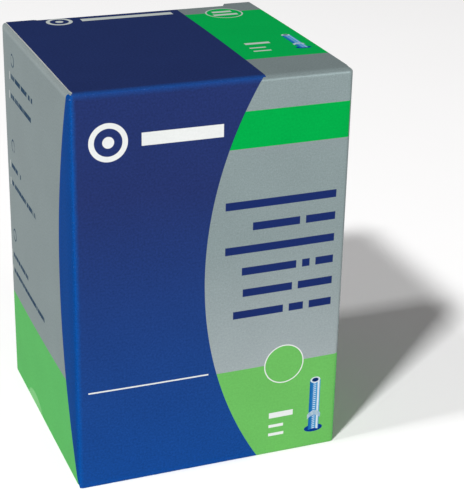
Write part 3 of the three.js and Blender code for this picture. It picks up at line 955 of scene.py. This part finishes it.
def make_closure(end):
    """Lid, tuck flap and both dust flaps of one end of the carton. The bottom end is the top one
    turned half way round about x, and keeps its place on the printed blank."""
    bottom = end == "bottom"
    signs = np.array([1, -1, -1] if bottom else [1, 1, 1])
    lift = HEIGHT if bottom else 0.0

    def bend(piece, a, b, *ends):
        """Bends a crease between two bodies, from one end to the other."""
        start, stop = [tuple((p * signs + (0, 0, lift)) * MM) for p in np.array(ends)]
        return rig.blend(piece, a, b, start=start, end=stop)

    def lid_art(u, v):
        return (-u, HEIGHT - v) if bottom else (u, v)

    ears = BOTTOM_EARS if bottom else TOP_EARS
    lid = board(f"{end}_lid_panel", *lid_grid(ears), moved(lid_place, signs, lift), lid_art)
    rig.replaces(lid, f"{end}_lid")
    bend(lid, "carton", f"{end}_lid", (0, FRONT_Y, WALL_TOP + 0.1), (0, FRONT_Y + CREASE, HEIGHT))

    tuck = board(f"{end}_tuck_panel", *tuck_grid(), moved(tuck_place, signs, lift), lid_art)
    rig.replaces(tuck, f"{end}_tuck_flap")
    bend(tuck, f"{end}_lid", f"{end}_tuck", (0, FOLD_Y - FOLD, HEIGHT), (0, FOLD_Y, HEIGHT - FOLD))

    for side, way in (("left", -1), ("right", 1)):
        on_other_wall = (side == "right") != bottom

        def flap_art(u, v):
            return (-REPEAT - u if on_other_wall else u), (HEIGHT - v if bottom else v)

        place = moved(dust_place, signs * (-way, 1, 1), lift)
        flap = board(f"{end}_{side}_dust_panel", *dust_grid(), place, flap_art)
        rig.replaces(flap, f"{end}_{side}_dust_flap")
        bend(flap, "carton", f"{end}_{side}_dust", (way * HALF_WIDTH, 0, SIDE_TOP + 0.1),
             (way * (HALF_WIDTH - DUST_CREASE), 0, DUST_TOP))


make_sleeve()
make_closure("top")
make_closure("bottom")

# ================ folded tube

STRANDS = 10  # on each side of the valve
NEAR_STRAND = 8.25  # how far the nearest and the furthest strand are from the valve's axis
FAR_STRAND = 32.25
STRAND_PITCH = (FAR_STRAND - NEAR_STRAND) / (STRANDS - 1)
STRAND_TOP = 98.2
STRAND_BOTTOM = 6.6
CORNER_DROP = 8.7  # the furthest strands end short, clear of the tuck flaps
CORNER_RISE = 13.4
BOTTOM_RUN = (-25.5, 3.4)  # y and z where the run along the bottom starts
PACKING = 6  # short strands under the valve
PACKING_TOP = 50.6
STRIP_THICKNESS = 2.0
STRIP_HALF_WIDTH = span("tube_body")[1][0]
BEND_STEPS = 5  # for a quarter turn
STRAIGHT_STEP = 5.0
STRIP_COLUMNS = 30
STRAND_SWAY = 0.7
BEND_LIFT = 0.9
BEND_SWELL = 0.45  # the outer wall stands out this far where the strip bends


def ring_corners():
    """Corners [y, z] of the strip's centreline, once round: up and down in front of the valve,
    short runs under it, then up and down behind it."""
    def strand(i):
        return NEAR_STRAND + i * STRAND_PITCH

    floor = VALVE_FLOOR - STRIP_THICKNESS / 2
    corners = [(-strand(0), floor)]
    for i in range(0, STRANDS, 2):
        corners += [(-strand(i), STRAND_TOP), (-strand(i + 1), STRAND_TOP)]
        low = STRAND_BOTTOM + (CORNER_RISE if i + 1 >= STRANDS - 3 else 0)
        if i + 2 < STRANDS:
            corners += [(-strand(i + 1), low), (-strand(i + 2), low)]
    corners += [(-FAR_STRAND, STRAND_BOTTOM + CORNER_RISE), BOTTOM_RUN]
    for i in range(PACKING):
        y = (i - (PACKING - 1) / 2) * STRAND_PITCH
        ends = [(y, BOTTOM_RUN[1]), (y, PACKING_TOP)]
        corners += ends if i % 2 == 0 else ends[::-1]
    corners.append((FAR_STRAND, BOTTOM_RUN[1]))
    for i in range(STRANDS - 1, 0, -2):
        top = STRAND_TOP - (CORNER_DROP if i >= STRANDS - 2 else 0)
        corners += [(strand(i), top), (strand(i - 1), top)]
        if i > 1:
            corners += [(strand(i - 1), STRAND_BOTTOM), (strand(i - 2), STRAND_BOTTOM)]
    corners.append((strand(0), floor))
    return np.array(corners)


def ring_path():
    """The rounded centreline: points, normals and how sharply it bends at each."""
    corners = ring_corners()
    bend = STRAND_PITCH / 2
    points, normals, bends = [], [], []
    count = len(corners)
    for i in range(count):
        at = corners[i]
        before, after = corners[i - 1] - at, corners[(i + 1) % count] - at
        before, after = before / np.linalg.norm(before), after / np.linalg.norm(after)
        opening = math.acos(np.clip(before @ after, -1, 1))
        centre = at + (before + after) / np.linalg.norm(before + after) * bend / math.sin(opening / 2)
        sign = math.copysign(1, after[0] * before[1] - after[1] * before[0])
        start = at + before * bend / math.tan(opening / 2)
        if points:
            run = start - points[-1]
            steps = int(np.linalg.norm(run) // STRAIGHT_STEP)
            side = np.array([-run[1], run[0]]) / max(np.linalg.norm(run), 1e-9)
            for k in range(1, steps):
                points.append(points[-1] + run / steps)
                normals.append(side)
                bends.append(0.0)
        turn = math.pi - opening
        steps = max(1, round(BEND_STEPS * turn / (math.pi / 2)))
        for k in range(steps + 1):
            point = centre + rotated(start - centre, sign * turn * k / steps)
            if k == 0 and points and np.linalg.norm(point - points[-1]) < 0.01:
                continue  # this bend starts where the last one ended
            points.append(point)
            normals.append((centre - point) / bend * sign)
            bends.append(-sign * math.sin(math.pi * k / steps))
    return np.array(points), np.array(normals), np.array(bends)


def strip_section():
    """Section of the flattened tube, once round: shares of half the width and of half the
    thickness. Its folded edges are round and a little fatter than the middle."""
    upper = []
    for share in np.linspace(-1, 1, STRIP_COLUMNS):
        across = math.sin(share * math.pi / 2)
        edge = abs(across)
        upper.append((across, math.sqrt(max(0, 1 - edge ** 24)) * (0.97 + 0.16 * edge ** 6)))
    return upper + [(across, -thick) for across, thick in upper[-2:0:-1]]


def make_tube():
    points, normals, bends = ring_path()
    section = strip_section()
    lengths = np.concatenate([[0], np.cumsum(np.linalg.norm(np.diff(points, axis=0), axis=1))])
    vertices, layout = [], []
    for point, normal, bulge, along in zip(points, normals, bends, lengths):
        for across, thick in section:
            half = STRIP_THICKNESS / 2 * 1.08 * thick
            if thick:
                swollen = BEND_SWELL * max(0.0, bulge * math.copysign(1, thick)) * (1 - across ** 8)
                half += math.copysign(swollen, thick)
            x = across * STRIP_HALF_WIDTH
            y, z = point + normal * half
            # the inner strands sway a little, and their bends rise and fall
            sway = noise.noise(Vector((x * 0.02, y * 0.05, z * 0.03)))
            lift = noise.noise(Vector((x * 0.03 + 40, along * 0.011, 7.0)))
            inside = np.clip((33.0 - abs(y)) / 6, 0, 1)
            vertices.append((x, y + STRAND_SWAY * sway * inside, z + BEND_LIFT * lift * (z > 8)))
            layout.append((x, along))
    faces = ring_faces(len(points), len(section))
    maps = np.array(layout)[np.array(faces)]
    maps[-len(section):, 2:, 1] = lengths[-1] + 1  # the last faces close the ring
    piece = finish_mesh("folded_tube", vertices, faces, [tube_butyl], "butyl", sharp=70,
                        maps={"strip": maps})
    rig.replaces(piece, "tube_body")
    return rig.ride(piece, "inner_tube")


def make_butyl(name, uv=None):
    """Black butyl: matt, with mould lines, grain and a dusting of talc."""
    paint = Paint(name, Specular_IOR_Level=0.4)
    place = paint.object_place()
    talc = paint.noise(place, 9, detail=5).ramp(0.42, 0.75)
    speck = paint.noise(place, 0.7, detail=3).ramp(0.35, 0.75)
    dust = talc * speck
    colour = paint.mix(paint.noise(place, 3, detail=3), (0.013, 0.013, 0.014), (0.024, 0.024, 0.025))
    paint.set("Base Color", paint.mix(dust * 0.5, colour, (0.30, 0.30, 0.29)))
    paint.set("Roughness", 0.55 + dust * 0.3 + paint.noise(place, 1.5) * 0.1)
    height = paint.noise(place, 0.5, detail=3) * 0.5
    if uv:
        across, _, _ = paint.parts(paint.uv_place(uv))
        lines = paint.math("FRACT", across * 0.25 + 0.5)
        ridge = 1 - abs(lines - 0.5).ramp(0.02, 0.07)
        height = height + ridge * 0.8
    paint.bump(height, 0.06, strength=0.8)
    return paint.material


tube_butyl = make_butyl("tube_butyl", uv="strip")
make_tube()

# ================ valve

# levels are above the valve's floor
STEM_RADIUS = 3.95
STEM_HEIGHT = 40.0
STEM_BORE = 2.75
THREAD_PITCH, THREAD_DEPTH = 0.794, 0.42
BOSS_TOP = 5.5
NUT_KNURLS, KNURL_DEPTH = 32, 0.28
CAP_ROOF = 41.6  # the inner face of the cap's crown
CAP_RIBS, RIB_DEPTH = 20, 0.32
RIBS_START = 33.0
PIN_BORE = 0.55
PLUG_RADIUS = 2.6
PLUG_FOOT = 33.6
CORE_PITCH, CORE_THREAD_DEPTH = 0.7, 0.25
KEY_FLATS = 37.4  # the plug's two flats start here
HALF_KEY = 1.5  # half the distance between the flats
WIRE = 0.2  # radius of the spring's wire
SPRING_TURNS = 6


def triangle(t):
    return abs((t % 1.0) * 2 - 1)


def helix(angle, z, pitch):
    """From 0 on the crest of a right-hand thread to 1 at its root, both rounded."""
    return 0.5 + 0.5 * math.cos(2 * math.pi * z / pitch - angle)


def make_metal(name, colour, dark, roughness):
    """Turned or plated metal: fine lines round it, small stains."""
    paint = Paint(name, Metallic=1.0)
    place = paint.object_place()
    turning = paint.noise(paint.object_place(stretch=(0.3, 0.3, 6)), 1.0, detail=3)
    stain = paint.noise(place, 3, detail=4).ramp(0.35, 0.8)
    paint.set("Base Color", paint.mix(stain * 0.5, colour, dark))
    paint.set("Roughness", roughness + turning * 0.15 + stain * 0.1)
    paint.bump(turning, 0.01, strength=0.5)
    return paint.material


def make_plastic(name, colour, paler, roughness):
    paint = Paint(name)
    place = paint.object_place()
    grain = paint.noise(place, 0.25, detail=3)
    rub = paint.noise(place, 4, detail=4).ramp(0.5, 0.8)
    paint.set("Base Color", paint.mix(rub * 0.6, colour, paler))
    paint.set("Roughness", roughness + grain * 0.2)
    paint.bump(grain, 0.02, strength=0.5)
    return paint.material


nickel = make_metal("nickel_plate", (0.62, 0.60, 0.56), (0.42, 0.40, 0.36), 0.18)
brass = make_metal("turned_brass", (0.72, 0.52, 0.24), (0.40, 0.27, 0.11), 0.25)
steel = make_metal("drawn_steel", (0.52, 0.52, 0.53), (0.32, 0.31, 0.30), 0.25)
valve_rubber = make_butyl("valve_rubber")
cap_plastic = make_plastic("cap_plastic", (0.014, 0.014, 0.015), (0.045, 0.045, 0.045), 0.35)
seal_rubber = make_plastic("seal_rubber", (0.25, 0.035, 0.03), (0.40, 0.10, 0.08), 0.5)


def thread(angle, radius, z):
    """A right-hand thread cut into the stem, run out at both ends."""
    if radius < STEM_RADIUS - 0.05:
        return radius
    run_out = smooth((z - BOSS_TOP - 0.3) / 1.2) * smooth((STEM_HEIGHT - 0.5 - z) / 0.8)
    return radius - THREAD_DEPTH * run_out * helix(angle, z, THREAD_PITCH)


def make_stem():
    foot, tube_bore = 0.9, 2.2
    steps = int((STEM_HEIGHT - 1.0) / (THREAD_PITCH / 8))
    threaded = [(STEM_RADIUS, foot + (STEM_HEIGHT - foot - 0.5) * k / steps) for k in range(steps + 1)]
    profile = [(tube_bore, 0.1), (6.0, 0.1), (6.0, foot), *threaded,
               (STEM_RADIUS - 0.25, STEM_HEIGHT - 0.2), (STEM_RADIUS - 0.55, STEM_HEIGHT),
               (STEM_BORE + 0.25, STEM_HEIGHT), (STEM_BORE, STEM_HEIGHT - 0.25),
               (STEM_BORE, 24.0), (tube_bore, 23.0)]
    turned("threaded_stem", "valve_stem", "inner_tube", profile, nickel, "plated_brass", shape=thread)


def round_span(node):
    """Radius, lowest and highest level of a round CAD node, above the valve's floor."""
    low, high = span(node)
    return high[0], low[2] - VALVE_FLOOR, high[2] - VALVE_FLOOR


def knurl(angle, radius, z):
    """Grooves round the nut's rim."""
    if radius < 5.5:
        return radius
    return radius - KNURL_DEPTH * triangle(angle * NUT_KNURLS / (2 * math.pi)) ** 1.5


def make_rim_nut():
    radius, low, high = round_span("rim_nut")
    bore = STEM_RADIUS + 0.15
    lower = [(bore, 0.35), (bore + 0.35, 0), (radius - 0.9, 0), (radius - 0.35, 0.12), (radius, 0.5)]
    profile = [(r, low + z) for r, z in lower] + [(radius, (low + high) / 2)]
    profile += [(r, high - z) for r, z in reversed(lower)]
    turned("knurled_nut", "rim_nut", "rim_nut", profile, nickel, "plated_brass", sides=160, shape=knurl)


def rib(angle, radius, z):
    """Grip ribs round the cap, which die away at its crown and its skirt."""
    if radius < 4.6:
        return radius
    depth = RIB_DEPTH * smooth((z - RIBS_START) / 0.8) * smooth((CAP_ROOF - z) / 0.8)
    return radius - depth * triangle(angle * CAP_RIBS / (2 * math.pi)) ** 0.7


def make_cap():
    radius, low, high = round_span("dust_cap")
    inner = STEM_RADIUS + 0.3
    side = [(radius, low + 0.3)] + [(radius, low + 0.6 + 0.6 * k) for k in range(17)]
    crown = [(radius - 0.9 * (1 - math.cos(a)), high - 0.9 + 0.9 * math.sin(a))
             for a in np.linspace(0, math.pi / 2, 6)[1:]]
    profile = [(0.4, CAP_ROOF), (inner, CAP_ROOF), (inner, low), (radius - 0.25, low), *side, *crown,
               (1.6, high), (1.2, high - 0.25), (0.4, high - 0.3)]
    turned("ribbed_cap", "dust_cap", "dust_cap", profile, cap_plastic, "black_plastic", sides=120,
           shape=rib, closed=False)


def make_valve_base():
    """Oval pad with a thin edge, swept up into the conical boss."""
    half_length, half_width = span("valve_base")[1][:2]
    bore = STEM_RADIUS + 0.15
    pad = [(1.0, 0.0), (1.0, 0.25), (0.985, 0.5), (0.94, 0.85), (0.88, 1.1)]
    boss = [(7.4, 1.5), (6.8, 1.75), (6.35, 2.2), (6.0, 3.0), (5.5, 4.6), (5.3, 5.2), (5.0, BOSS_TOP),
            (4.5, BOSS_TOP), (bore, BOSS_TOP - 0.25), (bore, 1.2), (6.15, 1.05), (6.15, 0.0)]
    sides = 96
    angles = np.arange(sides) * 2 * math.pi / sides
    points = []
    for share, z in pad:
        for a in angles:
            x, y = share * half_length * math.cos(a), share * half_width * math.sin(a)
            points.append((x, y, z + VALVE_FLOOR))
    for radius, z in boss:
        for a in angles:
            oval = 1 / math.hypot(math.cos(a) / half_length, math.sin(a) / half_width)
            r = min(radius, 0.9 * oval) if z < 2 and radius > 6.2 else radius
            points.append((r * math.cos(a), r * math.sin(a), z + VALVE_FLOOR))
    faces = ring_faces(len(pad) + len(boss), sides)
    piece = finish_mesh("valve_foot", points, faces, [valve_rubber], "butyl", sharp=50)
    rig.replaces(piece, "valve_base")
    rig.ride(piece, "inner_tube")


def make_spring():
    """The core's spring, which is pressed shorter as the pin goes down."""
    steps, sides = 24 * SPRING_TURNS, 10
    low, high = span("core_spring")
    points = []
    for k in range(steps + 1):
        angle = 2 * math.pi * SPRING_TURNS * k / steps
        middle = low[2] + WIRE + (high[2] - low[2] - 2 * WIRE) * k / steps
        for j in range(sides):
            turn = -2 * math.pi * j / sides
            r = high[0] - WIRE + WIRE * math.cos(turn)
            z = middle + WIRE * math.sin(turn)
            points.append((r * math.cos(angle), r * math.sin(angle), z))
    faces = ring_faces(steps + 1, sides, closed=False)
    piece = finish_mesh("coil_spring", points, faces, [steel], "steel", sharp=50)
    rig.replaces(piece, "core_spring")
    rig.blend(piece, "inner_tube", "valve_pin", start=(0, 0, low[2] * MM), end=(0, 0, high[2] * MM))


def key_end(angle, radius, z):
    """A fine thread on the plug, and above it two flats for the key that turns it."""
    if radius < PIN_BORE + 0.5:
        return radius
    if z > KEY_FLATS:
        return min(radius, HALF_KEY / max(abs(math.cos(angle)), 0.01))
    run_out = smooth((z - PLUG_FOOT - 0.1) / 0.5) * smooth((KEY_FLATS - 0.1 - z) / 0.5)
    return radius - CORE_THREAD_DEPTH * run_out * helix(angle, z, CORE_PITCH)


def make_core():
    """The valve core's turned pieces and the cap's gasket, each with its small edges broken."""
    threaded = [(PLUG_RADIUS, z) for z in np.arange(PLUG_FOOT + 0.15, KEY_FLATS, CORE_PITCH / 7)]
    plug = [(PIN_BORE, PLUG_FOOT), (PLUG_RADIUS - 0.15, PLUG_FOOT), *threaded,
            (PLUG_RADIUS, KEY_FLATS), (PLUG_RADIUS, KEY_FLATS + 0.02), (PLUG_RADIUS, 39.1),
            (PLUG_RADIUS - 0.2, 39.3), (PIN_BORE + 0.3, 39.3), (PIN_BORE, 39.0)]
    turned("threaded_plug", "core_plug", "inner_tube", plug, brass, "bare_brass", shape=key_end)

    barrel = [(PIN_BORE, 20.0), (1.75, 20.0), (1.9, 20.15), (1.9, 33.15), (1.8, 33.3), (1.55, 33.3),
              (1.5, 33.2), (1.5, 21.4), (PIN_BORE, 21.4)]
    turned("spring_barrel", "core_barrel", "inner_tube", barrel, brass, "bare_brass")

    sleeve = [(1.95, 24.2), (2.3, 24.2), (2.4, 24.3), (2.68, 25.6), (2.68, 26.2), (2.55, 26.4),
              (1.95, 26.4)]
    turned("tapered_seal", "core_barrel_seal", "inner_tube", sleeve, seal_rubber, "seal_rubber")

    pin = [(0.15, 17.6), (1.55, 17.6), (1.7, 17.75), (1.7, 18.7), (1.6, 18.8), (0.4, 18.8),
           (0.4, 30.0), (1.2, 30.0), (1.3, 30.1), (1.3, 30.6), (1.2, 30.7), (0.4, 30.7),
           (0.4, 39.5), (0.32, 39.65), (0.15, 39.7)]
    turned("collared_pin", "core_pin", "valve_pin", pin, steel, "steel", closed=False)

    washer = [(0.45, 18.85), (1.45, 18.85), (1.55, 18.95), (1.55, 19.7), (1.45, 19.9), (0.6, 19.9),
              (0.45, 19.8)]
    turned("cup_washer", "core_cup_seal", "valve_pin", washer, seal_rubber, "seal_rubber")

    disc = [(0.15, 40.3), (3.0, 40.3), (3.3, 40.2), (3.6, 40.25), (3.7, 40.4), (3.7, 41.1),
            (3.6, 41.25), (3.4, 41.3), (0.15, 41.3)]
    turned("gasket_disc", "cap_gasket", "cap_seal", disc, valve_rubber, "seal_rubber", closed=False)


make_stem()
make_rim_nut()
make_cap()
make_valve_base()
make_spring()
make_core()

# ================ floor, light and camera

FLOOR_REACH = 3.0  # metres
FLOOR_LEVEL = -0.05  # a hair below the carton's foot


def make_floor():
    paint = Paint("floor", Roughness=0.9)
    place = paint.object_place()
    mottle = paint.noise(place, 60, detail=3)
    paint.set("Base Color", paint.mix(mottle, (0.985, 0.985, 0.985), (1.0, 1.0, 1.0)))
    mesh = bpy.data.meshes.new("floor")
    corners = [(FLOOR_REACH * x, FLOOR_REACH * y, FLOOR_LEVEL * MM)
               for x, y in ((-1, -1), (1, -1), (1, 1), (-1, 1))]
    mesh.from_pydata(corners, [], [(0, 1, 2, 3)])
    mesh.materials.append(paint.material)
    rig.stage(add_object("floor", mesh))


def softbox(name, azimuth, elevation, distance, size, power):
    """An area lamp that faces the middle of the carton, with distance and size in metres. Azimuth 0
    is in front, positive to the right."""
    a, e = math.radians(azimuth), math.radians(elevation)
    way = Vector((math.sin(a) * math.cos(e), -math.cos(a) * math.cos(e), math.sin(e)))
    lamp = bpy.data.lights.new(name, "AREA")
    lamp.shape, lamp.size, lamp.size_y = "RECTANGLE", size[0], size[1]
    lamp.energy = power
    light = add_object(name, lamp)
    light.location = way * distance + Vector((0, 0, HEIGHT / 2 * MM))
    light.rotation_euler = way.to_track_quat("Z", "Y").to_euler()


make_floor()
softbox("key_light", -50, 48, 4.0, (0.35, 0.35), 134)
softbox("side_light", -88, 57, 4.0, (0.35, 0.35), 48)
softbox("front_light", 33, 8, 3.0, (1.5, 0.8), 32)

world = bpy.data.worlds.new("studio")
world.use_nodes = True
background = world.node_tree.nodes["Background"].inputs
background["Color"].default_value = (1, 0.95, 0.94, 1)
background["Strength"].default_value = 0.15
bpy.context.scene.world = world
bpy.context.scene.view_settings.view_transform = "Standard"

camera = bpy.data.cameras.new("camera")
camera.lens = 104.8
camera.sensor_width = 36
camera.clip_start = 0.01
eye = add_object("camera", camera)
eye.location = (-0.1233, -0.3553, 0.2166)
eye.rotation_euler = [math.radians(a) for a in (66.12, -1.19, -21.3)]
bpy.context.scene.camera = eye

looks_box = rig.bounds()
with open("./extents.json", "w") as file:
    json.dump({"cad": [list(c) for c in cad_box], "looks": [list(c) for c in looks_box]}, file)
